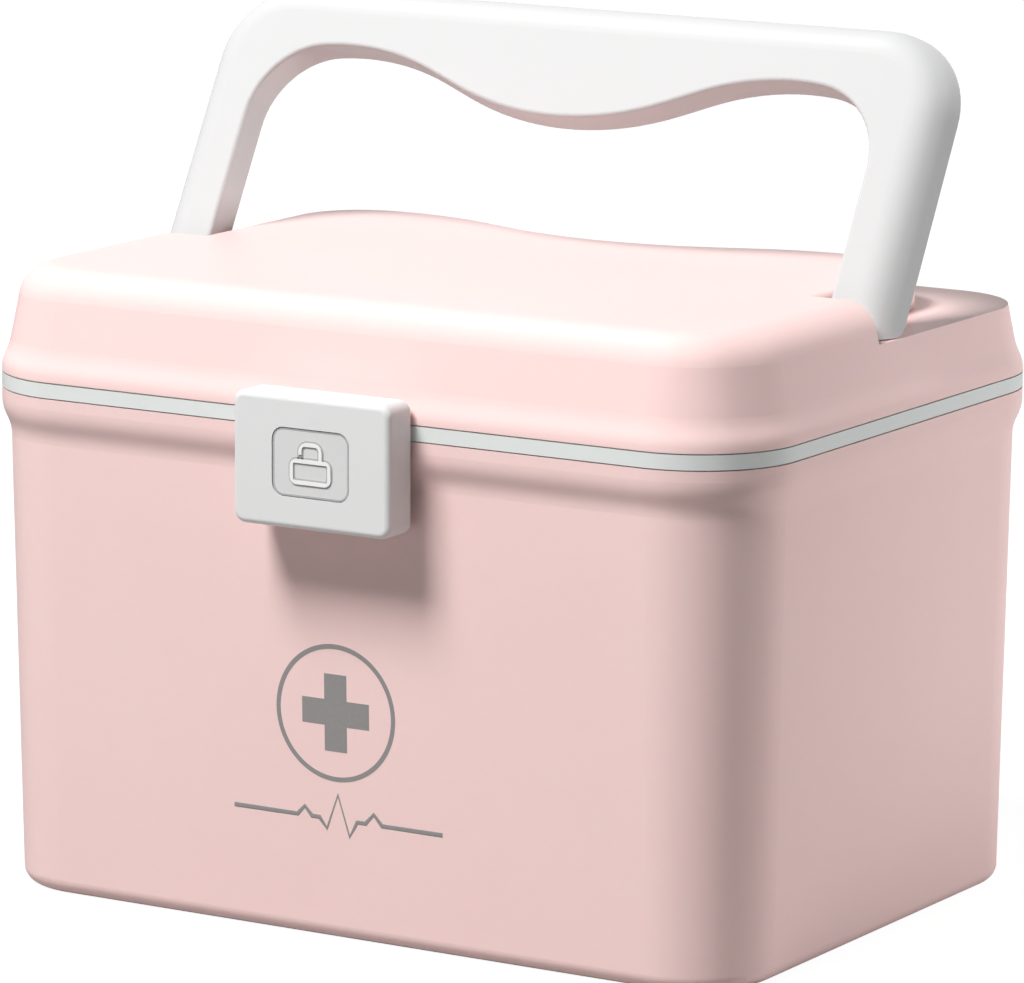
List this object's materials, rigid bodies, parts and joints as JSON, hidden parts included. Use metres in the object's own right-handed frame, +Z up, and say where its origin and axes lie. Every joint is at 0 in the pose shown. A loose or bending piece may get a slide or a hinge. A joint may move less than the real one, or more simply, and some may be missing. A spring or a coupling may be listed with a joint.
{
  "type": "first aid box with handle",
  "caption": "Household first aid box: flared tub, hinged lid with a recess for the folding handle, front snap latch and a lift-out divided tray.",
  "frame": {"origin": "middle of the tub's flat underside, on the ground", "axes": "+Z up, front with the latch at -Y, +X along the front to the right"},
  "size_m": [0.26, 0.2117, 0.2534],
  "materials": {
    "shell_pink": "satin pale pink polypropylene",
    "trim_white": "satin white",
    "tray_white": "satin white",
    "handle_white": "satin white",
    "badge_white": "satin pale grey white",
    "pin_steel": "drawn steel wire"
  },
  "bodies": {
    "box": {"box_shell": "shell_pink", "rim_band": "trim_white", "hinge_pin_left": "pin_steel", "hinge_pin_right": "pin_steel"},
    "tray": {"tray_shell": "tray_white", "tray_divider_long": "tray_white", "tray_divider_left": "tray_white", "tray_divider_right": "tray_white"},
    "lid": {"lid_shell": "shell_pink", "latch_bracket": "handle_white", "latch_pin": "pin_steel"},
    "handle": {"handle_shell": "handle_white", "handle_back_cover": "handle_white", "handle_pin_left": "pin_steel", "handle_pin_right": "pin_steel", "handle_clip_left": "pin_steel", "handle_clip_right": "pin_steel"},
    "latch": {"latch_cover": "handle_white", "latch_badge": "badge_white", "latch_catch": "handle_white"}
  },
  "joints": [
    {"name": "lid_open", "type": "hinge", "parent": "box", "child": "lid", "pos_m": [0, 0.0996, 0.1473], "axis": [-1, 0, 0], "range_deg": [0, 105]},
    {"name": "handle_fold", "type": "hinge", "parent": "lid", "child": "handle", "pos_m": [0, 0.00265, 0.178], "axis": [-1, 0, 0], "range_deg": [0, 60.9]},
    {"name": "latch_flip", "type": "hinge", "parent": "lid", "child": "latch", "pos_m": [0, -0.1025, 0.1555], "axis": [-1, 0, 0], "range_deg": [0, 28]},
    {"name": "tray_lift", "type": "slide", "parent": "box", "child": "tray", "axis": [0, 0, 1], "range_m": [0, 0.0769]}
  ],
  "couplings": [
    {"joint": "tray_lift", "follows": "lid_open", "m_per_rad": 0.042}
  ]
}
